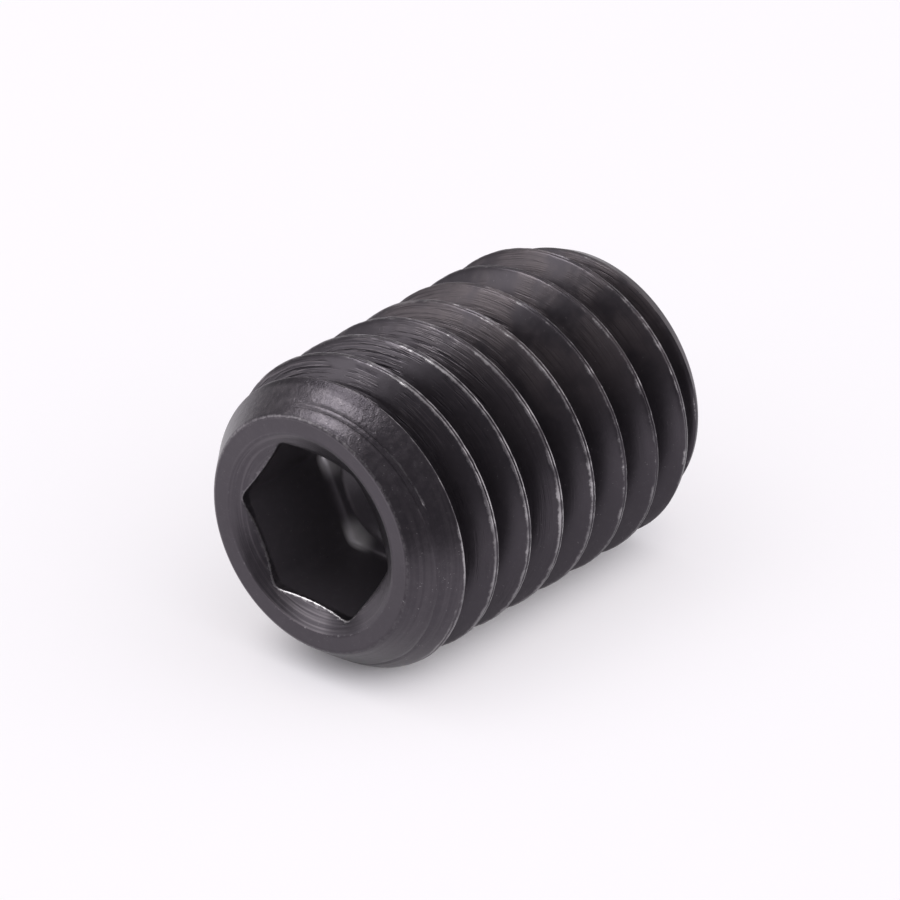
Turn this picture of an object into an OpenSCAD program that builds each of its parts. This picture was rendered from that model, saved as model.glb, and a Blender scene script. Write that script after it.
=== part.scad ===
// Headless set screw with a hexagon socket and a flat point, standing on its point

/* [Thread] */
// Diameter over the thread crests
thread_d = 5.88; // [4:0.02:10]
// Axial distance from one crest to the next
pitch = 0.907; // [0.5:0.001:1.2]
// Angle between the two flanks of a groove
flank_angle = 60; // [55:1:60]
// Direction in which a crest meets the plane of the point face
thread_turn = -42; // [-180:1:180]
// Distance below the socket face at which a groove reaches its full depth
lead_in = 0.8; // [0.4:0.05:1.5]

/* [Body] */
// Length over both ends
length = 7.94; // [5:0.02:20]
// Size of the bevel round the socket face
face_bevel = 0.65; // [0.3:0.02:0.8]
// Slope of the bevel round the socket face, measured from the face
face_bevel_angle = 54; // [30:1:60]
// Size of the bevel round the flat point
point_bevel = 0.39; // [0.3:0.01:0.8]
// Slope of the bevel round the flat point, measured from the point face
point_bevel_angle = 66; // [30:1:70]

/* [Socket] */
// Width of the key across its flats
key_af = 3; // [1.5:0.5:4]
// Room between the key and the socket, over both flats
key_clearance = 0.04; // [0.02:0.01:0.1]
// Depth of the hexagon's flat walls, from the face
socket_depth = 2.3; // [1.2:0.1:4]
// Width of the countersink beyond the hexagon's corners
mouth_lip = 0.19; // [0.1:0.01:0.3]
// Full angle of the countersink
mouth_angle = 120; // [90:5:130]
// Width of the drilled tip under the socket, as a share of the hexagon's width
drill_share = 0.82; // [0.5:0.01:1]
// Full angle of the drilled tip under the socket
drill_angle = 118; // [90:1:140]
// Direction of one of the hexagon's corners
socket_turn = 26.6; // [0:0.1:60]

/* [Hidden] */

// The crest and root flats and the groove depth follow the pitch
crest_flat = pitch / 8;
root_flat = pitch / 6;
thread_depth = (pitch - crest_flat - root_flat) / 2 / tan(flank_angle / 2);
crest_r = thread_d / 2;
root_r = crest_r - thread_depth;
root_sag = root_flat / 4;

// Steps round one turn of the helix, and how far the helix runs past each end
turn_steps = 54;
overrun = 1.5 * pitch;

// The hexagon, its countersink and the drilled tip
hex_corner_r = (key_af + key_clearance) / 2 / cos(30);
mouth_r = hex_corner_r + mouth_lip;
mouth_depth = mouth_r / tan(mouth_angle / 2);
drill_r = drill_share * (key_af + key_clearance) / 2;
drill_tip = drill_r / tan(drill_angle / 2);
face_bevel_rise = face_bevel * tan(face_bevel_angle);
point_bevel_rise = point_bevel * tan(point_bevel_angle);
cut_past = 0.5;

// One pitch of the thread outline, as [distance along the axis, radius], from the middle of a crest
thread_form = [
    [-crest_flat / 2, crest_r],
    [crest_flat / 2, crest_r],
    [(pitch - root_flat) / 2, root_r],
    [pitch / 2, root_r - root_sag],
    [(pitch + root_flat) / 2, root_r]
];
form_count = len(thread_form);

// Turns that cover the length with the overrun at both ends
turns = ceil((length + 2 * overrun) / pitch) + 1;
first_turn = -ceil(overrun / pitch) - 1;
row_count = turns * form_count;

// Share of its depth that a groove has at a distance below the socket face: none near the face
function formed(below) =
    let (share = min(max((below / lead_in - 0.56) / 0.44, 0), 1))
    share * share * (3 - 2 * share);

// Angle of a column, and height and radius of a row on it
function column_angle(column) = thread_turn + 360 * column / turn_steps;
function row_form(row) = thread_form[row % form_count];
function crest_height(column, row) =
    pitch * (first_turn + floor(row / form_count) + column / turn_steps);
function row_height(column, row) = crest_height(column, row) + row_form(row)[0];
function row_radius(column, row) =
    crest_r - (crest_r - row_form(row)[1]) * formed(length - crest_height(column, row) - pitch / 2);
function helix_point(column, row) = [
    row_radius(column, row) * cos(column_angle(column)),
    row_radius(column, row) * sin(column_angle(column)),
    row_height(column, row)
];

// Place of a point in the list: the first column is one turn taller, and a full turn lands on it
function point_place(column, row) =
    column == turn_steps ? row + form_count
    : column == 0 ? row
    : row_count + form_count + (column - 1) * row_count + row;

// A bar with the endless thread on it, longer than the screw at both ends
module threaded_bar() {
    last = row_count - 1;
    low_centre = row_count + form_count + (turn_steps - 1) * row_count;
    high_centre = low_centre + 1;
    first_column = [for (row = [0 : row_count + form_count - 1]) helix_point(0, row)];
    other_columns = [
        for (column = [1 : turn_steps - 1])
            for (row = [0 : last])
                helix_point(column, row)
    ];
    centres = [
        [0, 0, row_height(turn_steps / 2, 0)],
        [0, 0, row_height(turn_steps / 2, last)]
    ];
    flanks = [
        for (column = [0 : turn_steps - 1])
            for (row = [0 : last - 1])
                for (half = [0, 1])
                    half == 0
                    ? [
                        point_place(column, row),
                        point_place(column, row + 1),
                        point_place(column + 1, row + 1)
                    ]
                    : [
                        point_place(column, row),
                        point_place(column + 1, row + 1),
                        point_place(column + 1, row)
                    ]
    ];
    low_cap = [
        for (column = [0 : turn_steps - 1])
            [low_centre, point_place(column, 0), point_place(column + 1, 0)]
    ];
    low_step = [
        for (row = [0 : form_count - 1])
            [low_centre, point_place(0, row + 1), point_place(0, row)]
    ];
    high_cap = [
        for (column = [0 : turn_steps - 1])
            [high_centre, point_place(column + 1, last), point_place(column, last)]
    ];
    high_step = [
        for (row = [0 : form_count - 1])
            [high_centre, point_place(0, last + row), point_place(0, last + row + 1)]
    ];
    polyhedron(
        points = concat(first_column, other_columns, centres),
        faces = concat(flanks, low_cap, low_step, high_cap, high_step),
        convexity = 10
    );
}

// The turned blank: flat at both ends, with a bevel round each
module blank() {
    wide_r = crest_r + cut_past;
    past_face = cut_past * tan(face_bevel_angle);
    past_point = cut_past * tan(point_bevel_angle);
    rotate_extrude($fn = 96)
        polygon([
            [0, 0],
            [crest_r - point_bevel, 0],
            [wide_r, point_bevel_rise + past_point],
            [wide_r, length - face_bevel_rise - past_face],
            [crest_r - face_bevel, length],
            [0, length]
        ]);
}

// The room for the key: countersunk mouth, hexagon and drilled tip
module socket_cut() {
    translate([0, 0, length - socket_depth])
        rotate([0, 0, socket_turn])
            cylinder(h = socket_depth + cut_past, r = hex_corner_r, $fn = 6);
    translate([0, 0, length])
        rotate_extrude($fn = 96)
            polygon([
                [0, -mouth_depth],
                [mouth_r + cut_past * tan(mouth_angle / 2), cut_past],
                [0, cut_past]
            ]);
    translate([0, 0, length - socket_depth])
        rotate_extrude($fn = 96)
            polygon([
                [0, -drill_tip],
                [drill_r, 0],
                [drill_r, cut_past],
                [0, cut_past]
            ]);
}

module set_screw() {
    color([0.16, 0.15, 0.15])
        difference() {
            intersection() {
                threaded_bar();
                blank();
            }
            socket_cut();
        }
}

set_screw();
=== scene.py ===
"""Black set screw with a hexagon socket, on a pale photo table."""

import math
from typing import NamedTuple

import bpy
from mathutils import Matrix, Vector, noise


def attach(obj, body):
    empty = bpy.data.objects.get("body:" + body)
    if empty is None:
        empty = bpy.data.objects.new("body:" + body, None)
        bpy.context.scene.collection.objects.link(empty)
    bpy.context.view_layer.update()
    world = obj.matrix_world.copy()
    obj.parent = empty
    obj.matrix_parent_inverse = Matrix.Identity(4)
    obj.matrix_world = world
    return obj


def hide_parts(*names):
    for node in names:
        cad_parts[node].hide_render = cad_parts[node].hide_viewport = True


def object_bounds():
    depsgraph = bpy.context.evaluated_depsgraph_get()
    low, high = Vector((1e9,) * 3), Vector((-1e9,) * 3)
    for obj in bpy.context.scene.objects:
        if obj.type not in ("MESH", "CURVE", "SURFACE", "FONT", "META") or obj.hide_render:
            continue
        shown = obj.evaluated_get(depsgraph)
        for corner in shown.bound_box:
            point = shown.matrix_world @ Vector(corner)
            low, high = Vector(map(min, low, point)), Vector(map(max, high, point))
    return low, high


bl_info = {
    "name": "Needle set screw",
    "version": (1, 0, 0),
    "blender": (4, 5, 0),
    "location": "View3D > Sidebar > Set screw",
    "description": "Builds a black steel set screw with a hexagon socket, and its photo table",
    "category": "Add Mesh",
}

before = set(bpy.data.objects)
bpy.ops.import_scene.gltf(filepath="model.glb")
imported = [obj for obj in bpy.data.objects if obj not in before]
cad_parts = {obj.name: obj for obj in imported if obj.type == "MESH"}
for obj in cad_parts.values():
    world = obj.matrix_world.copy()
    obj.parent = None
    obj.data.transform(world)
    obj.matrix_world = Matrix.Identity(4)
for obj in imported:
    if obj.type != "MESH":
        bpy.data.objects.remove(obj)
CAD_LOW, CAD_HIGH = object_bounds()

MM = 0.001


class ScrewSizes(bpy.types.PropertyGroup):
    """Sizes of the screw, in metres"""

    thread_d: bpy.props.FloatProperty(
        name="Thread diameter",
        description="Diameter over the thread crests",
        default=5.88 * MM,
        precision=6,
        unit="LENGTH",
    )
    pitch: bpy.props.FloatProperty(
        name="Pitch",
        description="Axial distance from one crest to the next",
        default=0.907 * MM,
        precision=6,
        unit="LENGTH",
    )
    flank_angle: bpy.props.FloatProperty(
        name="Flank angle",
        description="Angle between the two flanks of a groove",
        default=math.radians(60),
        subtype="ANGLE",
        unit="ROTATION",
    )
    thread_turn: bpy.props.FloatProperty(
        name="Thread turn",
        description="Direction in which a crest meets the plane of the point face",
        default=math.radians(-42),
        subtype="ANGLE",
        unit="ROTATION",
    )
    lead_in: bpy.props.FloatProperty(
        name="Lead-in",
        description="Distance below the socket face at which a groove reaches its full depth",
        default=0.8 * MM,
        precision=6,
        unit="LENGTH",
    )
    length: bpy.props.FloatProperty(
        name="Length",
        description="Length over both ends",
        default=CAD_HIGH.z - CAD_LOW.z,
        precision=6,
        unit="LENGTH",
    )
    face_bevel: bpy.props.FloatProperty(
        name="Face bevel",
        description="Size of the bevel round the socket face",
        default=0.65 * MM,
        precision=6,
        unit="LENGTH",
    )
    face_bevel_angle: bpy.props.FloatProperty(
        name="Face bevel angle",
        description="Slope of the bevel round the socket face, from the face",
        default=math.radians(54),
        subtype="ANGLE",
        unit="ROTATION",
    )
    point_bevel: bpy.props.FloatProperty(
        name="Point bevel",
        description="Size of the bevel round the flat point",
        default=0.39 * MM,
        precision=6,
        unit="LENGTH",
    )
    point_bevel_angle: bpy.props.FloatProperty(
        name="Point bevel angle",
        description="Slope of the bevel round the flat point, from the point face",
        default=math.radians(66),
        subtype="ANGLE",
        unit="ROTATION",
    )
    socket_af: bpy.props.FloatProperty(
        name="Socket across flats",
        description="Width of the hexagon across its flats",
        default=3.04 * MM,
        precision=6,
        unit="LENGTH",
    )
    socket_depth: bpy.props.FloatProperty(
        name="Socket depth",
        description="Depth of the hexagon's flat walls, from the face",
        default=2.3 * MM,
        precision=6,
        unit="LENGTH",
    )
    mouth_lip: bpy.props.FloatProperty(
        name="Countersink lip",
        description="Width of the countersink beyond the hexagon's corners",
        default=0.19 * MM,
        precision=6,
        unit="LENGTH",
    )
    mouth_angle: bpy.props.FloatProperty(
        name="Countersink angle",
        description="Full angle of the countersink",
        default=math.radians(120),
        subtype="ANGLE",
        unit="ROTATION",
    )
    drill_angle: bpy.props.FloatProperty(
        name="Drill angle",
        description="Full angle of the drilled tip under the socket",
        default=math.radians(118),
        subtype="ANGLE",
        unit="ROTATION",
    )
    drill_share: bpy.props.FloatProperty(
        name="Drill share",
        description="Width of the drilled tip, as a share of the hexagon's width",
        default=0.82,
        min=0.0,
        max=1.0,
        subtype="FACTOR",
    )
    socket_turn: bpy.props.FloatProperty(
        name="Socket turn",
        description="Direction of one of the hexagon's corners",
        default=math.radians(26.6),
        subtype="ANGLE",
        unit="ROTATION",
    )


class ScrewFinish(bpy.types.PropertyGroup):
    """Colours of the blackened steel"""

    oxide: bpy.props.FloatVectorProperty(
        name="Black oxide",
        description="Colour of the oxide where it is thick",
        size=3,
        default=(0.077, 0.069, 0.079),
        subtype="COLOR",
    )
    # Thin oxide and sheen: where turning thins the oxide, also painted as the countersink's highlight
    # and the bevel's speckled sheen
    thin_oxide_and_sheen: bpy.props.FloatVectorProperty(
        name="Thin oxide",
        description="Colour of the oxide where turning marks and handling thin it",
        size=3,
        default=(0.168, 0.152, 0.166),
        subtype="COLOR",
    )
    # Bare steel: along rubbed edges, also painted as highlight on lit edges and as light in the socket
    # floor's corners
    bare_steel: bpy.props.FloatVectorProperty(
        name="Worn steel",
        description="Colour of the bare steel along rubbed edges",
        size=3,
        default=(0.56, 0.54, 0.555),
        subtype="COLOR",
    )
    # Brownish haze in patches, laid only on the top, where it paints a sheen of light
    haze_and_sheen: bpy.props.FloatVectorProperty(
        name="Haze",
        description="Colour of the brownish haze on top, away from the socket",
        size=3,
        default=(0.19, 0.163, 0.166),
        subtype="COLOR",
    )
    # Soot and shade: the colour of dark scores, also painted as shade in the roots, the countersink
    # and on the lower side
    soot_and_shade: bpy.props.FloatVectorProperty(
        name="Soot",
        description="Colour of the oxide in scores and roots and on the lower side",
        size=3,
        default=(0.028, 0.024, 0.03),
        subtype="COLOR",
    )
    roughness: bpy.props.FloatProperty(
        name="Roughness",
        description="Mean roughness of the oxide",
        default=0.3,
        min=0.0,
        max=1.0,
        subtype="FACTOR",
    )


class PhotoTable(bpy.types.PropertyGroup):
    """Table, lights and camera of the photo"""

    table: bpy.props.FloatVectorProperty(
        name="Table colour",
        description="Colour of the pale table",
        size=3,
        default=(0.965, 0.955, 0.985),
        subtype="COLOR",
    )
    backdrop: bpy.props.FloatVectorProperty(
        name="Backdrop colour",
        description="Colour behind the table",
        size=3,
        default=(1.0, 0.96, 0.988),
        subtype="COLOR",
    )
    room: bpy.props.FloatVectorProperty(
        name="Room colour",
        description="Colour of the dim room on the camera's side, as reflections show it",
        size=3,
        default=(0.1, 0.092, 0.105),
        subtype="COLOR",
    )
    closed_side: bpy.props.FloatVectorProperty(
        name="Closed side colour",
        description="Colour of the room opposite its open side, as reflections show it",
        size=3,
        default=(0.46, 0.445, 0.46),
        subtype="COLOR",
    )
    key: bpy.props.FloatProperty(
        name="Key light",
        description="Brightness of the main soft light",
        default=0.8,
        min=0.0,
    )
    glow: bpy.props.FloatProperty(
        name="Key glow",
        description="Brightness that the main light adds to reflections alone",
        default=4.6,
        min=0.0,
    )
    side: bpy.props.FloatProperty(
        name="Side light",
        description="Brightness of the broad light on the left",
        default=1.6,
        min=0.0,
    )
    camera_turn: bpy.props.FloatProperty(
        name="Camera turn",
        description="Angle between the view and the screw's axis, level with the table",
        default=math.radians(40.175),
        subtype="ANGLE",
        unit="ROTATION",
    )
    camera_tilt: bpy.props.FloatProperty(
        name="Camera tilt",
        description="Angle of the view above the table",
        default=math.radians(28.118),
        subtype="ANGLE",
        unit="ROTATION",
    )
    camera_distance: bpy.props.FloatProperty(
        name="Camera distance",
        description="Distance from the camera to the middle of the screw",
        default=135.05 * MM,
        precision=5,
        unit="LENGTH",
    )
    camera_aim: bpy.props.FloatProperty(
        name="Camera aim",
        description="Distance below the socket face of the point that the camera is set out from",
        default=3.4204 * MM,
        precision=6,
        unit="LENGTH",
    )
    focal_length: bpy.props.FloatProperty(
        name="Focal length",
        description="Focal length of the lens, in millimetres",
        default=297.7,
        unit="CAMERA",
    )


# Columns of points round the screw, and the rounded edges at its point and its face
COLUMNS = 306
EDGE = 0.02 * MM
RIM = 0.05 * MM
RIM_ACROSS = 0.06 * MM

# Roundings of the crests, the roots, the bevels' edges and the hexagon's corners
CREST_ROUND = 0.06 * MM
ROOT_ROUND = 0.11 * MM
BEVEL_ROUND = 0.07 * MM
CORNER_ROUND = 0.05 * MM
BLUNT_CORNER = 0.978

# Share of the lead-in at which a groove starts, and depth of bevel over which a crest's marks fade
GROOVE_START = 0.56
BEVEL_FADE = 0.12 * MM

# Seam along the middle of the crests, and nicks in them; both vary in waves a millimetre
SEAM_WIDTH = 0.014 * MM
SEAM_DEPTH = 0.018 * MM
SEAM_WAVES = 1.4
NICK_DEPTH = 0.012 * MM
NICK_WAVES = 7
NICK_REACH = (0.06 * MM, 0.1 * MM)

# Depths below the socket face between which the marks of thread cutting end, and the fold's own
MARKS_END = (0.74 * MM, 0.86 * MM)
FOLD_SPAN = (0.7 * MM, 0.8 * MM, 1.5 * MM, 1.7 * MM)

# Hollow at the foot of the ridge, from a crest's middle: start, deepest, end
RIDGE_FOOT = (0.15 * MM, 0.27 * MM, 0.3 * MM)

# Widths over which rubbing reaches from a crest's corner and from a bevel's edge
CORNER_WEAR = 0.048 * MM
CORNER_INSET = 0.015 * MM
CROSSING_WEAR = 0.075 * MM

# Depths below the socket face over which the crests' wear fades, and past which the bevel is the
# point's; turn in degrees round which the crests' corners on the face's side have less bare steel,
# as painted shade that dims their highlight
WEAR_FADE = (3.5 * MM, 5.5 * MM)
POINT_BELOW = 2 * MM
HIGHLIGHT_DIM_TURN = 4
HIGHLIGHT_DIM_WIDTH = 16

# Darker stretch at the socket bevel's edge: depths under the bevel, turns in degrees, and how far it
# reaches past a crest's middle and below the face
DARK_STRIP_DEPTHS = (0.05 * MM, 0.1 * MM, 0.2 * MM, 0.3 * MM)
DARK_STRIP_TURNS = (-28, -12, 28, 42)
DARK_STRIP_PAST_CREST = 0.08 * MM
DARK_STRIP_BELOW_FACE = 1 * MM


def soft_min(a, b, width):
    """The lower of two heights, rounded where they cross"""
    h = max(width - abs(a - b), 0.0) / width
    return min(a, b) - h * h * width / 4


def soft_max(a, b, width):
    """The higher of two heights, rounded where they cross"""
    return -soft_min(-a, -b, width)


def ramp(low, high, value):
    """0 below low, 1 above high, straight between"""
    return min(max((value - low) / (high - low), 0.0), 1.0)


def smooth(low, high, value):
    """0 below low, 1 above high, smooth between"""
    share = ramp(low, high, value)
    return share * share * (3 - 2 * share)


def span(value, start, full, fade, end):
    """1 from full to fade, 0 below start and above end, smooth between"""
    return smooth(start, full, value) * (1 - smooth(fade, end, value))


def hump(distance, width):
    """1 on a line, falling away smoothly on both sides of it"""
    return math.exp(-((distance / width) ** 2))


class Mark(NamedTuple):
    """A line, or two with a gap between, that thread cutting left beside the socket face"""

    place: float
    half_gap: float
    width: float
    depth: float
    turns: tuple

    def share(self, offset, turned):
        """Share of its depth at a distance from a crest's middle and a turn in degrees"""
        across = abs(offset - self.place) - self.half_gap
        return hump(across, self.width) * span(turned, *self.turns)


# Place from a crest's middle towards the face, half the gap, width, depth, and the turns in degrees
# at which a mark starts, is full, fades and ends
CREASE = Mark(0.325 * MM, 0.042 * MM, 0.013 * MM, 0.028 * MM, (-72, -40, 7, 13))
SCRATCH = Mark(0.36 * MM, 0.0, 0.02 * MM, 0.02 * MM, (-182, -181, -62, -45))
RIDGE = Mark(0.278 * MM, 0.0, 0.022 * MM, 0.022 * MM, (-68, -58, -40, -30))
FOLD = Mark(0.345 * MM, 0.028 * MM, 0.014 * MM, 0.024 * MM, (-34, -18, 8, 20))


class ScrewForm:
    """The screw's outline as radius over angle and height"""

    def __init__(self, sizes):
        self.sizes = sizes
        self.crest_r = sizes.thread_d / 2
        self.half_crest = sizes.pitch / 16
        self.half_root = sizes.pitch / 12
        self.slope = 1 / math.tan(sizes.flank_angle / 2)
        run = sizes.pitch / 2 - self.half_crest - self.half_root
        self.root_r = self.crest_r - run * self.slope - self.half_root / 4
        self.face_r = self.crest_r - sizes.face_bevel
        self.point_r = self.crest_r - sizes.point_bevel
        self.flat_r = sizes.socket_af / 2
        self.corner_r = self.flat_r / math.cos(math.radians(30))
        self.mouth_r = self.corner_r + sizes.mouth_lip

    def crest_offset(self, angle, z):
        """Distance along the axis from the nearest crest's middle"""
        pitch = self.sizes.pitch
        turns = z / pitch - (angle - self.sizes.thread_turn) / math.tau
        return (turns - round(turns)) * pitch

    def thread(self, offset):
        """Radius of the endless thread at a distance along the axis from a crest's middle"""
        flank = self.crest_r - (abs(offset) - self.half_crest) * self.slope
        radius = soft_min(self.crest_r, flank, CREST_ROUND)
        return soft_max(radius, self.root_r, ROOT_ROUND)

    def bevels(self, z):
        """Largest radius that the two bevels leave at a height"""
        point = self.point_r + z / math.tan(self.sizes.point_bevel_angle)
        face = self.face_r + (self.sizes.length - z) / math.tan(self.sizes.face_bevel_angle)
        return min(point, face)

    def hexagon(self, angle):
        """Distance from the axis to the hexagon's wall"""
        sixth = math.radians(60)
        inner = (angle - self.sizes.socket_turn) % sixth - sixth / 2
        return soft_min(self.flat_r / math.cos(inner), BLUNT_CORNER * self.corner_r, CORNER_ROUND)


class SidePoint:
    """A point on the screw's outside, with its marks and bare steel, partly dimmed as painted shade"""

    def __init__(self, form, angle, z):
        sizes = form.sizes
        self.form = form
        self.offset = form.crest_offset(angle, z)
        self.turned = math.degrees(angle - math.tau * round(angle / math.tau))
        self.below_face = sizes.length - z
        self.thread = form.thread(self.offset)
        self.bevel = form.bevels(z)
        self.off_bevel = 1 - smooth(0.0, BEVEL_FADE, form.crest_r - self.bevel)
        groove = z + math.copysign(sizes.pitch / 2, self.offset) - self.offset
        self.formed = smooth(GROOVE_START * sizes.lead_in, sizes.lead_in, sizes.length - groove)
        self.near_face = 1 - smooth(*MARKS_END, self.below_face)
        around = Vector((math.cos(angle), math.sin(angle), 0.0)) * (form.crest_r / MM)
        self.place = around + Vector((0.0, 0.0, z / MM))
        self.uneven = 0.5 + 0.5 * noise.noise(self.place * SEAM_WAVES)

    def radius(self):
        """Distance from the axis"""
        crest_r = self.form.crest_r
        thread = crest_r - (crest_r - self.thread) * self.formed
        plain = soft_min(thread, self.bevel, BEVEL_ROUND)
        return plain - self.crest_marks() - self.cutting_marks()

    def crest_marks(self):
        """Depth of the seam along the crest and of the nicks in it"""
        seam = SEAM_DEPTH * hump(self.offset, SEAM_WIDTH) * (0.35 + self.uneven)
        on_crest = 1 - smooth(*NICK_REACH, abs(self.offset))
        nicks = NICK_DEPTH * max(noise.noise(self.place * NICK_WAVES), 0.0) * on_crest
        return (seam + nicks) * self.off_bevel

    def cutting_marks(self):
        """Depth of the crease, the scratch, the ridge's foot and the fold beside the socket face"""
        here = self.offset, self.turned
        crease = CREASE.depth * CREASE.share(*here)
        scratch = SCRATCH.depth * SCRATCH.share(*here) * (0.4 + self.uneven)
        start, deepest, end = RIDGE_FOOT
        foot = ramp(start, deepest, self.offset) * (1 - ramp(deepest, end, self.offset))
        foot *= RIDGE.depth * span(self.turned, *RIDGE.turns)
        fold = FOLD.depth * FOLD.share(*here) * span(self.below_face, *FOLD_SPAN) * self.off_bevel
        return (crease + scratch + foot) * self.near_face + fold

    def wear_and_light(self):
        """Rubbed bare steel up to 1, dimmed on some corners as painted shade; below 0 on a darker
        strip
        """
        from_corner = abs(abs(self.offset) - self.form.half_crest + CORNER_INSET)
        corner = max(0.0, 1 - from_corner / CORNER_WEAR) * self.off_bevel
        # Less bare steel round one turn on the face's side: painted shade that dims the crest's
        # highlight
        if self.offset > 0:
            corner *= 1 - 0.6 * hump(self.turned - HIGHLIGHT_DIM_TURN, HIGHLIGHT_DIM_WIDTH)
        corner *= 1 - 0.45 * smooth(*WEAR_FADE, self.below_face)
        under_bevel = self.thread - self.bevel
        crossing = max(0.0, 1 - abs(under_bevel) / CROSSING_WEAR) * self.formed
        if self.below_face >= POINT_BELOW:
            crossing *= 0.45
        ridge = RIDGE.share(self.offset, self.turned) * self.near_face
        wear_and_light = max(corner, crossing, 0.9 * ridge)
        if self.offset < DARK_STRIP_PAST_CREST and self.below_face < DARK_STRIP_BELOW_FACE:
            dark_strip = span(under_bevel, *DARK_STRIP_DEPTHS) * span(self.turned, *DARK_STRIP_TURNS)
            wear_and_light -= 0.7 * dark_strip * (1 - wear_and_light)
        return wear_and_light


# Rows of points beside a crest: on it and past its corners, and up the flanks towards the face and
# the point; in millimetres along the axis
CREST_ROWS = (0.018, 0.04)
PAST_CORNER_ROWS = (0.0, 0.012, 0.035)
FACE_SIDE_ROWS = (0.15, 0.21, 0.25, 0.27, 0.284, 0.3, 0.325, 0.35, 0.366, 0.38, 0.42)
POINT_SIDE_ROWS = (0.11, 0.13, 0.15, 0.17, 0.19, 0.26, 0.34, 0.38, 0.415)

# Rows closer to an end than this lie on it
ROW_REACH = 0.004 * MM

# Turns of rows past both ends, so that a row still lies on an end after one turn of the helix
SPARE_TURNS = 3

# Rounding of the countersink's rim and its drops there
MOUTH_ROUND = 0.03 * MM
MOUTH_DROPS = (0.001 * MM, 0.005 * MM)

# Rounded edge of the hexagon: distance out from the wall, and drops down to where the wall starts
EDGE_OUT = 0.01 * MM
EDGE_DROPS = (0.002 * MM, 0.018 * MM, 0.05 * MM)

# Fillet at the foot of the hexagon's walls
FLOOR_FILLET = 0.16 * MM

# Rows in from the point's rim: distance inwards, height and wear
POINT_RIM = ((0.012 * MM, 0.006 * MM, 0.8), (0.04 * MM, 0.0, 0.4), (0.1 * MM, 0.0, 0.0))

# Faces that meet at more than this keep a sharp edge between them
SHARP_ANGLE = math.radians(38)


def row_offsets(form):
    """Heights of one turn's rows from the middle of its crest, closest together at the edges"""
    crest = [h * MM for h in CREST_ROWS] + [form.half_crest + h * MM for h in PAST_CORNER_ROWS]
    face_side = crest + [h * MM for h in FACE_SIDE_ROWS] + [form.sizes.pitch / 2]
    point_side = crest + [h * MM for h in POINT_SIDE_ROWS]
    return sorted([-h for h in point_side] + [0.0] + face_side)


def outside_rows(form, angle, offsets, turns):
    """Points up one side of the screw: (radius, height, wear), held between the two ends"""
    sizes = form.sizes
    low, high = EDGE, sizes.length - RIM
    shift = (angle - sizes.thread_turn) / math.tau
    rows = []
    for turn in turns:
        for offset in offsets:
            z = min(max(sizes.pitch * (turn + shift) + offset, low), high)
            if z < low + ROW_REACH:
                z = low
            if z > high - ROW_REACH:
                z = high
            point = SidePoint(form, angle, z)
            rows.append((point.radius(), z, point.wear_and_light()))
    return rows


def rim_rows(form):
    """Points over the rounded rim of the face and across the face: (radius, height, wear)"""
    top = form.sizes.length
    start = RIM / math.tan(form.sizes.face_bevel_angle)
    rows = []
    for share, wear_and_light in ((0.2, 0.3), (0.4, 0.7), (0.6, 0.7), (0.8, 0.3), (1.0, 0.0)):
        drop, across = (1 - share) ** 2, share**2
        rows.append((form.face_r + drop * start - across * RIM_ACROSS, top - drop * RIM, wear_and_light))
    for share in (0.33, 0.66):
        rows.append((form.face_r + (form.mouth_r - form.face_r) * share, top, 0.0))
    return rows


def mouth_rows(form, wall):
    """Points down the countersink and over the hexagon's edge: (radius, height, wear)"""
    top = form.sizes.length
    cone = 1 / math.tan(form.sizes.mouth_angle / 2)

    def on_cone(radius):
        return top - (form.mouth_r - radius) * cone

    outer, inner = form.mouth_r - MOUTH_ROUND, wall + MOUTH_ROUND
    rows = [
        (form.mouth_r + MOUTH_ROUND, top - MOUTH_DROPS[0], 0.1),
        (form.mouth_r, top - MOUTH_DROPS[1], 0.25),
        (outer, on_cone(outer), 0.1),
    ]
    for share in (0.25, 0.5, 0.75):
        radius = outer + (inner - outer) * share
        rows.append((radius, on_cone(radius), 0.0))
    return rows + [
        (inner, on_cone(inner), 0.35),
        (wall + EDGE_OUT, on_cone(wall) - EDGE_DROPS[0], 1.0),
        (wall, on_cone(wall) - EDGE_DROPS[1], 0.7),
        (wall, on_cone(wall) - EDGE_DROPS[2], 0.0),
    ]


def socket_rows(form, wall, start):
    """Points down the hexagon and drilled tip: (radius, height, bare steel and light), and tip height
    """
    sizes = form.sizes
    floor = sizes.length - sizes.socket_depth
    drill = sizes.drill_share * form.flat_r
    tip = 1 / math.tan(sizes.drill_angle / 2)
    rows = []
    for share in (0.35, 0.7, 1.0):
        rows.append((wall, start + (floor + FLOOR_FILLET - start) * share, 0.0))
    # Bare drilled steel in the floor's shaded corners, partly a painted pool of light there
    pocket_steel_and_light = smooth(form.flat_r * 1.02, form.corner_r * 0.97, wall)
    for turn in (30, 60, 90):
        inward = FLOOR_FILLET * (1 - math.cos(math.radians(turn)))
        above = FLOOR_FILLET * (1 - math.sin(math.radians(turn)))
        rows.append((wall - inward, floor + above, pocket_steel_and_light))
    rows += [(drill * 1.03, floor, 0.4 * pocket_steel_and_light), (drill, floor, 0.0)]
    for share in (0.94, 0.7, 0.4, 0.15):
        rows.append((drill * share, floor - drill * (1 - share) * tip, 0.0))
    return rows, floor - drill * tip


def face_rows(form, angle):
    """Points from the face's rim over the countersink and down the socket, and the tip's height"""
    wall = form.hexagon(angle)
    rows = rim_rows(form) + mouth_rows(form, wall)
    inside, tip_height = socket_rows(form, wall, rows[-1][1])
    return rows + inside, tip_height


def point_rows(form, angle):
    """Points from the rim of the flat point to its middle: (radius, height, wear)"""
    rim = SidePoint(form, angle, EDGE).radius()
    rows = [(rim - inwards, z, wear_and_light) for inwards, z, wear_and_light in POINT_RIM]
    return rows + [(rim * share, 0.0, 0.0) for share in (0.6, 0.2)]


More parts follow.
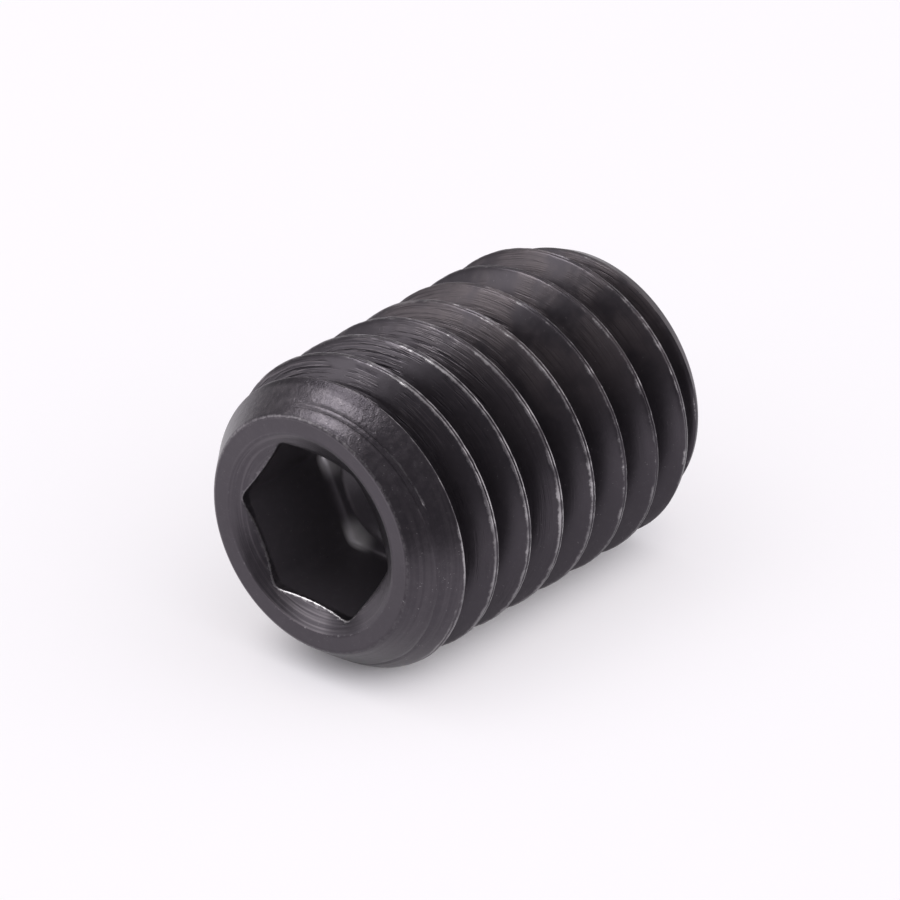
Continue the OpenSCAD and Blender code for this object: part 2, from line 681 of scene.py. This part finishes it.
def screw_mesh(name, sizes):
    """A closed mesh of the screw, with each point's bare steel and painted light kept as an attribute
    """
    form = ScrewForm(sizes)
    offsets = row_offsets(form)
    per_turn = len(offsets)
    turns = range(-SPARE_TURNS, math.ceil(sizes.length / sizes.pitch) + SPARE_TURNS)
    points, wear_and_light_values, faces = [], [], []

    def place(angle, radius, z, wear_and_light):
        points.append((radius * math.cos(angle), radius * math.sin(angle), z))
        wear_and_light_values.append(wear_and_light)
        return len(points) - 1

    angles = [sizes.socket_turn + math.tau * j / COLUMNS for j in range(COLUMNS)]
    sides, tops, ends = [], [], []
    tip_height = 0.0
    for angle in angles:
        side, last = [], None
        for radius, z, wear_and_light in outside_rows(form, angle, offsets, turns):
            if last is None or z > last:
                index = place(angle, radius, z, wear_and_light)
            side.append(index)
            last = z
        sides.append(side)
        rows, tip_height = face_rows(form, angle)
        tops.append([side[-1]] + [place(angle, *row) for row in rows])
        ends.append([side[0]] + [place(angle, *row) for row in point_rows(form, angle)])
    tip = place(0.0, 0.0, tip_height, 0.0)
    middle = place(0.0, 0.0, 0.0, 0.0)

    def add_face(*corners):
        ring = [c for k, c in enumerate(corners) if c != corners[k - 1]]
        if len(set(ring)) == len(ring) and len(ring) > 2:
            faces.append(ring)

    count = len(sides[0])
    for j in range(COLUMNS):
        n = (j + 1) % COLUMNS
        step = per_turn if n == 0 else 0
        for k in range(count - 1):
            a, b = min(k + step, count - 1), min(k + 1 + step, count - 1)
            add_face(sides[j][k], sides[n][a], sides[n][b], sides[j][k + 1])
        for k in range(len(tops[j]) - 1):
            add_face(tops[j][k], tops[n][k], tops[n][k + 1], tops[j][k + 1])
        add_face(tops[j][-1], tops[n][-1], tip)
        for k in range(len(ends[j]) - 1):
            add_face(ends[n][k], ends[j][k], ends[j][k + 1], ends[n][k + 1])
        add_face(ends[n][-1], ends[j][-1], middle)

    mesh = bpy.data.meshes.new(name)
    mesh.from_pydata(points, [], faces)
    mesh.validate()
    if len(mesh.vertices) != len(points):
        raise RuntimeError("the screw's mesh lost points")
    wear_and_light = mesh.attributes.new("wear_and_light", "FLOAT", "POINT")
    wear_and_light.data.foreach_set("value", wear_and_light_values)
    mesh.polygons.foreach_set("use_smooth", [True] * len(mesh.polygons))
    mesh.set_sharp_from_angle(angle=SHARP_ANGLE)
    return mesh


class Amount:
    """A number that varies over a surface, for sums written as Python"""

    def __init__(self, finish, socket):
        self.finish = finish
        self.socket = socket

    def join(self, operation, first, second=0.0):
        node = self.finish.add("ShaderNodeMath", {"operation": operation}, {0: first, 1: second})
        return Amount(self.finish, node.outputs[0])

    def __add__(self, other):
        return self.join("ADD", self, other)

    __radd__ = __add__

    def __sub__(self, other):
        return self.join("SUBTRACT", self, other)

    def __rsub__(self, other):
        return self.join("SUBTRACT", other, self)

    def __mul__(self, other):
        return self.join("MULTIPLY", self, other)

    __rmul__ = __mul__

    def __truediv__(self, other):
        return self.join("DIVIDE", self, other)

    def __rtruediv__(self, other):
        return self.join("DIVIDE", other, self)

    def __pow__(self, other):
        return self.join("POWER", self, other)

    def __rpow__(self, other):
        return self.join("POWER", other, self)

    def size(self):
        """The number without its sign"""
        return self.join("ABSOLUTE", self)

    def rise(self, low, high):
        """0 below low, 1 above high, smooth between"""
        node = self.finish.add(
            "ShaderNodeMapRange",
            {"interpolation_type": "SMOOTHSTEP"},
            {"Value": self, "From Min": low, "From Max": high},
        )
        return Amount(self.finish, node.outputs["Result"])


class Finish:
    """A node tree under construction"""

    def __init__(self, tree):
        self.tree = tree
        tree.nodes.clear()

    def feed(self, socket, value):
        if isinstance(value, Amount):
            self.tree.links.new(value.socket, socket)
        elif isinstance(value, bpy.types.NodeSocket):
            self.tree.links.new(value, socket)
        else:
            socket.default_value = value

    def add(self, kind, settings=None, sockets=None):
        """A node of a type, its settings first, then the values or links of its sockets"""
        node = self.tree.nodes.new(kind)
        for key, value in (settings or {}).items():
            setattr(node, key, value)
        for key, value in (sockets or {}).items():
            self.feed(node.inputs[key], value)
        return node

    def amount(self, kind, output, settings=None, sockets=None):
        return Amount(self, self.add(kind, settings, sockets).outputs[output])

    def mix(self, share, first, second):
        """A colour between two colours"""
        settings = {"data_type": "RGBA"}
        sockets = {0: share, 6: first, 7: second}
        return self.add("ShaderNodeMix", settings, sockets).outputs[2]

    def vector(self, x, y, z):
        return self.add("ShaderNodeCombineXYZ", None, {0: x, 1: y, 2: z}).outputs[0]

    def along(self, vector, direction):
        """How far a vector runs along a direction"""
        settings, sockets = {"operation": "DOT_PRODUCT"}, {0: vector, 1: direction}
        return self.amount("ShaderNodeVectorMath", "Value", settings, sockets)

    def noise(self, vector, scale, detail, roughness=0.5, w=None):
        settings = {"noise_dimensions": "3D" if w is None else "4D"}
        sockets = {"Vector": vector, "Scale": scale, "Detail": detail, "Roughness": roughness}
        if w is not None:
            sockets["W"] = w
        return self.amount("ShaderNodeTexNoise", 0, settings, sockets)


def opaque(colour):
    """A colour with full alpha"""
    return (*colour[:3], 1.0)


# Depth of the streaks and pits in the oxide
RELIEF = 0.014 * MM

# Sides of the screw, in degrees round its axis from +X, the side that is up in the photo
BACK_TURN = 129.7
RUBBED_AND_LIT_TURN = -45.4
STREAKED_TURN = 26.05
UPPER_BACK_TURN = 53.13
UNDER_TURN = 180
MOUTH_LIT_TURN = 170.2
MOUTH_SHADE_TURN = -45
MOUTH_SHADE_SPOT = 204.25


class OxideSurface:
    """Places and patterns on the blackened screw, each from 0 to 1 over its surface; sizes in mm"""

    def __init__(self, make, sizes):
        form = ScrewForm(sizes)
        self.make = make
        self.top = sizes.length / MM
        self.face_r, self.crest_r = form.face_r / MM, form.crest_r / MM
        self.wear_and_light = make.amount("ShaderNodeAttribute", "Fac", {"attribute_name": "wear_and_light"})
        place = make.add("ShaderNodeTexCoord").outputs["Object"]
        scaled = {0: place, "Scale": 1 / MM}
        self.in_mm = make.add("ShaderNodeVectorMath", {"operation": "SCALE"}, scaled).outputs[0]
        parts = make.add("ShaderNodeSeparateXYZ", None, {0: self.in_mm})
        x, y, self.z = (Amount(make, socket) for socket in parts.outputs)
        self.radius = (x * x + y * y + 1e-6) ** 0.5
        self.cos, self.sin = x / self.radius, y / self.radius
        self.add_patterns()
        self.find_socket(form)
        self.find_outside(form)
        self.find_marks()

    def facing(self, turn):
        """1 on the side at a turn in degrees, -1 on the other side"""
        angle = math.radians(turn)
        return self.cos * math.cos(angle) + self.sin * math.sin(angle)

    def drawn_round(self, around, across, along, detail):
        """A noise drawn out round the axis"""
        vector = self.make.vector(self.cos * around, self.sin * around, self.radius * across)
        return self.make.noise(vector, 1.0, detail, 0.6, self.z * along)

    def add_patterns(self):
        """Streaks that follow the turning, and the oxide's own unevenness, from broad to fine"""
        self.dashes = self.drawn_round(3.2, 42, 1.6, 2.0)
        self.rings = self.drawn_round(0.8, 24, 0.4, 2.0)
        self.gouges = self.drawn_round(1.5, 19, 0.7, 3.0)
        self.clouds = self.make.noise(self.in_mm, 0.9, 3.0, 0.55)
        self.rubbed = self.make.noise(self.in_mm, 1.5, 2.0, 0.6)
        self.ragged = self.make.noise(self.in_mm, 3.0, 5.0, 0.75)
        self.mottle = self.make.noise(self.in_mm, 6.5, 4.0, 0.62)
        self.nibbled = self.make.noise(self.in_mm, 11.0, 3.0, 0.7)
        self.grain = self.make.noise(self.in_mm, 34.0, 2.0, 0.6)

    def find_socket(self, form):
        """The countersink and its painted light and shade, the socket's inside and floor, the face"""
        z, radius, top = self.z, self.radius, self.top
        mouth, corner = form.mouth_r / MM, form.corner_r / MM
        floor = top - form.sizes.socket_depth / MM
        above_floor = z - floor - 0.07
        below_mouth = 1 - z.rise(top - 0.34, top - 0.28)
        self.in_mouth = z.rise(top - 0.35, top - 0.3) * (1 - radius.rise(mouth - 0.02, mouth + 0.06))
        self.on_floor = 1 - above_floor.size().rise(0.08, 0.1)
        self.on_floor = self.on_floor * (1 - radius.rise(corner + 0.045, corner + 0.105))
        self.within = (1 - radius.rise(corner + 0.025, corner + 0.085)) * below_mouth
        self.within = self.within * z.rise(floor - 2.64, floor - 2.14)
        on_top = z.rise(top - 0.03, top - 0.012)
        self.on_face = on_top * radius.rise(mouth - 0.015, mouth + 0.025)
        # Painted highlight on the countersink's lit side
        self.lit_mouth = self.in_mouth * self.facing(MOUTH_LIT_TURN).rise(0.86, 0.97)
        # Painted shade on the countersink: a broad stretch and one dark spot
        shaded = self.facing(MOUTH_SHADE_TURN).rise(0.505, 0.96)
        shaded = shaded + self.facing(MOUTH_SHADE_SPOT).rise(0.952, 0.997) * 0.6
        self.shaded = shaded * self.in_mouth

    def find_outside(self, form):
        """The bevel, the thread, its roots, and the sides that handling and light set apart"""
        z, radius, top, face, root = self.z, self.radius, self.top, self.face_r, form.root_r / MM
        cone = face + (top - z) / math.tan(form.sizes.face_bevel_angle)
        self.on_bevel = (radius - cone).rise(-0.08, -0.04)
        self.outside = radius.rise(face - 0.07, face - 0.02)
        self.plain = self.outside * (1 - self.on_bevel)
        self.on_thread = radius.rise(face + 0.07, face + 0.15)
        self.on_rim = radius.rise(face - 0.24, face - 0.14)
        # Painted shade in the thread's roots, where the next flank shades them
        off_root = radius.rise(root + 0.035, root + 0.355)
        self.root_shade = (1 - off_root) * radius.rise(face - 0.09, face + 0.01) * (1 - self.on_bevel)
        self.behind = self.facing(BACK_TURN).rise(0.45, 0.8) * self.outside
        # Painted shade on the lower side, the side towards the table
        self.lower = (1 - self.cos.rise(-0.4, 0.65)) * (1 - self.behind)
        self.near = z.rise(top - 4.4, top - 2.4)
        # Pits on the bevel, most on its top, where their lighter patches also paint a speckled
        # highlight
        self.pits_and_sheen = self.on_bevel * (0.2 + self.cos.rise(0.35, 0.9) * 0.8)
        self.drawn_bevel = self.on_bevel - self.pits_and_sheen

    def find_marks(self):
        """Patches of streaks and torn scores on the thread; a painted sheen on top, off the socket"""
        gouges = self.gouges
        upper = 0.12 + self.facing(STREAKED_TURN).rise(0.1, 0.8) * 0.88 + self.behind * 0.5
        self.patched = self.clouds.rise(0.42, 0.56) * self.plain * upper
        self.torn = self.patched * (0.25 + self.near * 0.75)
        self.gouged = gouges.rise(0.56, 0.6) * self.torn
        self.raised = gouges.rise(0.5, 0.54) * (1 - gouges.rise(0.55, 0.58)) * self.torn
        # Brownish haze in patches on the top, away from the socket: a painted sheen
        on_top = self.cos.rise(0.3, 0.85) * self.plain
        self.haze_and_sheen_share = (1 - self.near) * self.clouds.rise(0.38, 0.58) * on_top


def bare_edges(steel):
    """Rubbed bare steel along the edges, chipped along its length; most where it paints a highlight"""
    # Bare steel is laid most on the side where the crest edges catch the light: a painted highlight
    rubbed_and_lit_side = steel.facing(RUBBED_AND_LIT_TURN).rise(0.35, 1.0) + steel.behind * 0.8
    thread = (0.27 + rubbed_and_lit_side * 0.73) * (0.4 + steel.rubbed.rise(0.34, 0.55) * 0.6)
    first_edge = steel.z.rise(steel.top - 1.02, steel.top - 0.94)
    first_edge = first_edge * steel.radius.rise(steel.crest_r - 0.28, steel.crest_r - 0.18)
    thread = thread + first_edge * steel.facing(UPPER_BACK_TURN).rise(0.3, 0.7) * 0.35
    rim = 0.05 + steel.cos.rise(-0.2, 0.6) * 0.17
    mouth = 0.22 + steel.facing(UNDER_TURN).rise(0.5, 0.85) * 0.5
    off_thread = 1 - steel.on_thread
    face = rim * steel.on_rim + mouth * (1 - steel.on_rim)
    bare = thread * steel.on_thread + face * off_thread
    chipped = (steel.ragged - 0.5) * 2.3 * steel.on_thread + (steel.nibbled - 0.5) * 2.4 * off_thread
    edge = (steel.wear_and_light + chipped - 0.08).rise(0.28, 0.85) * steel.wear_and_light.rise(0.05, 0.35)
    return edge * bare * (1 - steel.on_floor)


def thin_oxide_and_sheen_share(steel):
    """Thin oxide and painted highlight: turned rings, streaks, bevel patches and score edges"""
    turned = steel.rings.rise(0.44, 0.66) * steel.in_mouth
    drawn = steel.dashes.rise(0.53, 0.66) * steel.patched
    # Lighter patches on the bevel, most on its top: mottled oxide and a painted speckled highlight
    patches = steel.mottle.rise(0.4, 0.68) * (0.12 + steel.pits_and_sheen * 0.5)
    patches = patches + steel.nibbled.rise(0.5, 0.7) * steel.pits_and_sheen * 0.5
    patches = patches + steel.rings.rise(0.4, 0.64) * steel.drawn_bevel * 0.5
    # The turned rings are lighter on the countersink's lit side: painted highlight
    thin = turned * (0.35 + steel.lit_mouth * 0.5) + drawn * 0.35 + patches * 0.55
    return thin + steel.raised * 0.8 + steel.on_face * 0.08


def soot_and_shade_share(steel):
    """Dark scores; painted shade in roots, countersink, upper back crest tops and the lower side"""
    scored = (1 - steel.dashes.rise(0.36, 0.46)) * steel.patched
    # Scores and gouges are dark oxide; the roots and the countersink get painted shade
    dark = scored * 0.5 + steel.root_shade * 0.3 + steel.gouged * 0.85 + steel.shaded
    # Painted shade on the crest tops at the upper back, dimming their highlight
    crest_tops = steel.radius.rise(steel.crest_r - 0.1, steel.crest_r - 0.04) * steel.plain
    dark = dark + steel.facing(UPPER_BACK_TURN).rise(0.7, 0.95) * crest_tops * 0.2
    # Painted shade on the lower side of the thread, the bevel and the face
    under = steel.plain * 0.5 + steel.outside * steel.on_bevel * 0.42 + steel.on_face * 0.18
    return dark + steel.lower * under + (steel.wear_and_light * -1).rise(0.0, 0.7) * 0.7


def oxide_relief(steel):
    """Normal of the surface with its streaks, scores, rings and pits"""
    height = (
        steel.dashes * 1.2 * steel.patched
        - steel.gouges.rise(0.53, 0.61) * 1.5 * steel.torn
        + steel.rings * (steel.in_mouth * 0.9 + steel.drawn_bevel * 0.7)
        + steel.mottle * (0.2 + steel.pits_and_sheen * 1.1)
        + steel.nibbled * steel.pits_and_sheen * 0.8
        + steel.grain * (0.1 + steel.pits_and_sheen * 0.5)
    )
    sockets = {"Strength": 0.5, "Distance": RELIEF, "Height": height}
    return steel.make.add("ShaderNodeBump", None, sockets).outputs[0]


def black_oxide(name, sizes, finish):
    """Blackened steel: streaks round the axis, mottled oxide, rubbed edges; painted light and shade"""
    material = bpy.data.materials.new(name)
    material.use_nodes = True
    make = Finish(material.node_tree)
    steel = OxideSurface(make, sizes)
    edge = bare_edges(steel)
    specks = steel.grain.rise(0.66, 0.74) * steel.mottle.rise(0.5, 0.62) * (0.3 + steel.on_bevel * 0.4)

    steel_colour = opaque(finish.bare_steel)
    colour = make.mix(thin_oxide_and_sheen_share(steel), opaque(finish.oxide), opaque(finish.thin_oxide_and_sheen))
    colour = make.mix(steel.haze_and_sheen_share * 0.45, colour, opaque(finish.haze_and_sheen))
    # Dark oxide in scores, and painted shade in the roots, the countersink, the upper crest tops and
    # the lower side
    colour = make.mix(soot_and_shade_share(steel), colour, opaque(finish.soot_and_shade))
    # Bare steel: on the socket floor partly a painted pool of light, on the edges partly a painted
    # highlight, and in specks
    for share in (steel.on_floor * steel.wear_and_light, edge * 0.95, specks):
        colour = make.mix(share, colour, steel_colour)

    rough = finish.roughness - 0.08 + steel.mottle * 0.14 + steel.grain * 0.04 + steel.haze_and_sheen_share * 0.1
    metal = 0.84 + edge * 0.16 - steel.within * 0.3
    shader = make.add(
        "ShaderNodeBsdfPrincipled",
        None,
        {"Base Color": colour, "Metallic": metal, "Roughness": rough, "Normal": oxide_relief(steel)},
    )
    make.add("ShaderNodeOutputMaterial", None, {"Surface": shader.outputs[0]})
    return material


class SCREW_OT_body(bpy.types.Operator):
    """Build the threaded body with its socket"""

    bl_idname = "set_screw.body"
    bl_label = "Screw body"

    def execute(self, context):
        sizes, finish = context.scene.screw_sizes, context.scene.screw_finish
        mesh = screw_mesh("screw_body", sizes)
        mesh.materials.append(black_oxide("black_oxide_steel", sizes, finish))
        body = bpy.data.objects.new("screw_body", mesh)
        context.collection.objects.link(body)
        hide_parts("set_screw")
        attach(body, "root")
        return {"FINISHED"}


# Stretch of the axis that lies on the table, and distances from it over which the table's pale
# glow grows: painted light that lifts the shadow, leaving it dark only near the screw
REST_MIDDLE = 3.6 * MM
REST_HALF = 2.9 * MM
SHADOW_LIFT_SPAN = (0.5 * MM, 2.4 * MM)

# Distances in front of the screw over which reflections find the table dim
DIM_FROM = (8 * MM, 26 * MM)

# Colour of the room's soft light where it is strongest
SOFT_LIGHT = (1.98, 1.96, 2.02)
BLACK = (0.0, 0.0, 0.0)

# Directions on the stage, as shares of the table's up, the photo's right and away from the camera
OVERHEAD = (0.88, 0.0, -0.47)
OPEN_SIDE = (0.0, 0.97, -0.24)
KEY_WAY = (0.865, -0.5, 0.03)
SIDE_WAY = (0.31, -0.9, -0.2)

# Distance, width and height of the soft boxes
KEY_BOX = (90 * MM, 50 * MM, 50 * MM)
GLOW_BOX = (95 * MM, 45 * MM, 45 * MM)
SIDE_BOX = (110 * MM, 105 * MM, 48 * MM)

# Half the table's width, and how far the camera stands off its aim to the right and up
TABLE_HALF = 0.3
CAMERA_RIGHT = 0.302 * MM
CAMERA_UP = 0.29 * MM


def photo_axes(table):
    """Right, up and backward directions of the photo; the table's own up is +X"""
    turn, tilt = table.camera_turn, table.camera_tilt
    level = math.cos(tilt)
    back = Vector((math.sin(tilt), -level * math.sin(turn), level * math.cos(turn)))
    right = Vector((1.0, 0.0, 0.0)).cross(back).normalized()
    return right, back.cross(right), back


def table_finish(name, table, front):
    """Pale table, seen only from above, that keeps the shadow; reflections find it dim in front"""
    material = bpy.data.materials.new(name)
    material.use_nodes = True
    make = Finish(material.node_tree)

    def blend(share, first, second):
        sockets = {0: share, 1: first.outputs[0], 2: second.outputs[0]}
        return make.add("ShaderNodeMixShader", None, sockets)

    path = make.add("ShaderNodeLightPath")
    camera = Amount(make, path.outputs["Is Camera Ray"])
    gloss = Amount(make, path.outputs["Is Glossy Ray"])
    clear = Amount(make, path.outputs["Is Transmission Ray"])
    seen = (camera + gloss + clear).rise(0.0, 1.0)

    here = make.add("ShaderNodeNewGeometry")
    position = here.outputs["Position"]
    ahead = make.along(position, front)
    parts = make.add("ShaderNodeSeparateXYZ", None, {0: position})
    across, axial = Amount(make, parts.outputs["Y"]), Amount(make, parts.outputs["Z"])
    past_end = (axial - REST_MIDDLE).size() - REST_HALF
    past_end = (past_end + past_end.size()) / 2
    apart = (across * across + past_end * past_end + 1e-9) ** 0.5
    # The table's pale glow is weakest at the screw's resting line: painted light that lifts the broad
    # shadow farther out
    shadow_lift = 0.05 + apart.rise(*SHADOW_LIFT_SPAN) * 0.5

    matt = make.add("ShaderNodeBsdfDiffuse", None, {"Color": opaque(table.table)})
    pale = make.add("ShaderNodeEmission", None, {"Color": opaque(table.backdrop)})
    dim = make.add("ShaderNodeEmission", None, {"Color": opaque(table.room)})
    gone = make.add("ShaderNodeBsdfTransparent")
    lit = blend(seen * shadow_lift, matt, pale)
    lit = blend(gloss * ahead.rise(*DIM_FROM), lit, dim)
    shader = blend(here.outputs["Backfacing"], lit, gone)
    make.add("ShaderNodeOutputMaterial", None, {"Surface": shader.outputs[0]})
    return material


def studio_world(table, front, overhead, open_side):
    """Pale room, brightest overhead and on its open side; reflections find it dim in front"""
    world = bpy.data.worlds.new("studio")
    bpy.context.scene.world = world
    world.use_nodes = True
    make = Finish(world.node_tree)
    path = make.add("ShaderNodeLightPath")
    gloss = Amount(make, path.outputs["Is Glossy Ray"])
    matt = Amount(make, path.outputs["Is Diffuse Ray"])
    way = make.add("ShaderNodeTexCoord").outputs["Generated"]
    opened, lifted = make.along(way, open_side), make.along(way, overhead)

    backdrop = opaque(table.backdrop)
    reflected = make.mix(opened.rise(0.2, 0.8), opaque(table.closed_side), backdrop)
    reflected = make.mix(make.along(way, front).rise(-0.25, 0.6), reflected, opaque(table.room))
    colour = make.mix(gloss, backdrop, reflected)
    soft = 0.12 + lifted.rise(0.2, 1.0) * 1.4 + opened.rise(0.1, 0.9) * 0.5
    tinted = make.mix(soft / 2, opaque(BLACK), opaque(SOFT_LIGHT))
    colour = make.mix(matt, colour, tinted)
    light = make.add("ShaderNodeBackground", None, {"Color": colour, "Strength": 1.0})
    make.add("ShaderNodeOutputWorld", None, {"Surface": light.outputs[0]})


def add_lamp(name, centre, way, box, brightness, on_table):
    """A soft box that faces the screw; off the table, it only shows as a reflection"""
    distance, width, height = box
    lamp = bpy.data.lights.new(name, "AREA")
    lamp.shape = "RECTANGLE"
    lamp.size, lamp.size_y = width, height
    lamp.energy = brightness * math.pi * width * height
    holder = bpy.data.objects.new(name, lamp)
    bpy.context.collection.objects.link(holder)
    way = way.normalized()
    holder.location = centre + way * distance
    holder.rotation_euler = way.to_track_quat("Z", "Y").to_euler()
    holder.visible_camera = False
    holder.visible_diffuse = on_table


def table_mesh(name, drop, away, right):
    """A square table under the lying screw, facing up"""
    corners = []
    for a, b in ((-1, -1), (-1, 1), (1, 1), (1, -1)):
        corners.append(tuple(drop + away * (a * TABLE_HALF) + right * (b * TABLE_HALF)))
    mesh = bpy.data.meshes.new(name)
    mesh.from_pydata(corners, [], [(0, 1, 2, 3)])
    if mesh.polygons[0].normal.dot(drop) > 0:
        mesh.flip_normals()
    return mesh


def photo_camera(name, table, centre, axes):
    """The camera of the photo, on its side because the screw stands"""
    right, up, back = axes
    lens = bpy.data.cameras.new(name)
    lens.lens = table.focal_length
    lens.clip_start = 1 * MM
    lens.clip_end = 10.0
    camera = bpy.data.objects.new(name, lens)
    spot = centre + right * CAMERA_RIGHT + up * CAMERA_UP + back * table.camera_distance
    camera.matrix_world = Matrix.Translation(spot) @ Matrix(axes).transposed().to_4x4()
    return camera


class SCREW_OT_stage(bpy.types.Operator):
    """Set up the pale table, the soft lights and the camera"""

    bl_idname = "set_screw.stage"
    bl_label = "Photo table"

    def execute(self, context):
        scene = context.scene
        table, sizes = scene.photo_table, scene.screw_sizes
        axes = photo_axes(table)
        right, back = axes[0], axes[2]
        table_up = Vector((1.0, 0.0, 0.0))
        away = -(back - table_up * back.dot(table_up)).normalized()
        front = tuple(-away)
        centre = Vector((0.0, 0.0, sizes.length - table.camera_aim))

        def towards(shares):
            return table_up * shares[0] + right * shares[1] + away * shares[2]

        mesh = table_mesh("table", table_up * (-sizes.thread_d / 2), away, right)
        mesh.materials.append(table_finish("pale_table", table, front))
        floor = bpy.data.objects.new("table", mesh)
        context.collection.objects.link(floor)

        studio_world(table, front, tuple(towards(OVERHEAD)), tuple(towards(OPEN_SIDE)))
        key_way, side_way = towards(KEY_WAY), towards(SIDE_WAY)
        add_lamp("key_light", centre, key_way, KEY_BOX, table.key, True)
        add_lamp("key_glow", centre, key_way, GLOW_BOX, table.glow, False)
        add_lamp("side_light", centre, side_way, SIDE_BOX, table.side, False)

        camera = photo_camera("camera", table, centre, axes)
        context.collection.objects.link(camera)
        scene.camera = camera
        scene.view_settings.view_transform = "Standard"
        return {"FINISHED"}


class SCREW_PT_panel(bpy.types.Panel):
    """Pieces, sizes and colours of the set screw"""

    bl_idname = "SCREW_PT_panel"
    bl_label = "Set screw"
    bl_space_type = "VIEW_3D"
    bl_region_type = "UI"
    bl_category = "Set screw"

    def draw(self, context):
        layout = self.layout
        for operator in (SCREW_OT_body, SCREW_OT_stage):
            layout.operator(operator.bl_idname)
        scene = context.scene
        for group in (scene.screw_sizes, scene.screw_finish, scene.photo_table):
            box = layout.box()
            for key in group.bl_rna.properties.keys():
                if key not in {"rna_type", "name"}:
                    box.prop(group, key)


CLASSES = (ScrewSizes, ScrewFinish, PhotoTable, SCREW_OT_body, SCREW_OT_stage, SCREW_PT_panel)


def register():
    for cls in CLASSES:
        bpy.utils.register_class(cls)
    bpy.types.Scene.screw_sizes = bpy.props.PointerProperty(type=ScrewSizes)
    bpy.types.Scene.screw_finish = bpy.props.PointerProperty(type=ScrewFinish)
    bpy.types.Scene.photo_table = bpy.props.PointerProperty(type=PhotoTable)


def unregister():
    del bpy.types.Scene.photo_table
    del bpy.types.Scene.screw_finish
    del bpy.types.Scene.screw_sizes
    for cls in reversed(CLASSES):
        bpy.utils.unregister_class(cls)


def main():
    register()
    bpy.ops.set_screw.stage()
    bpy.ops.set_screw.body()


if __name__ == "__main__":
    main()
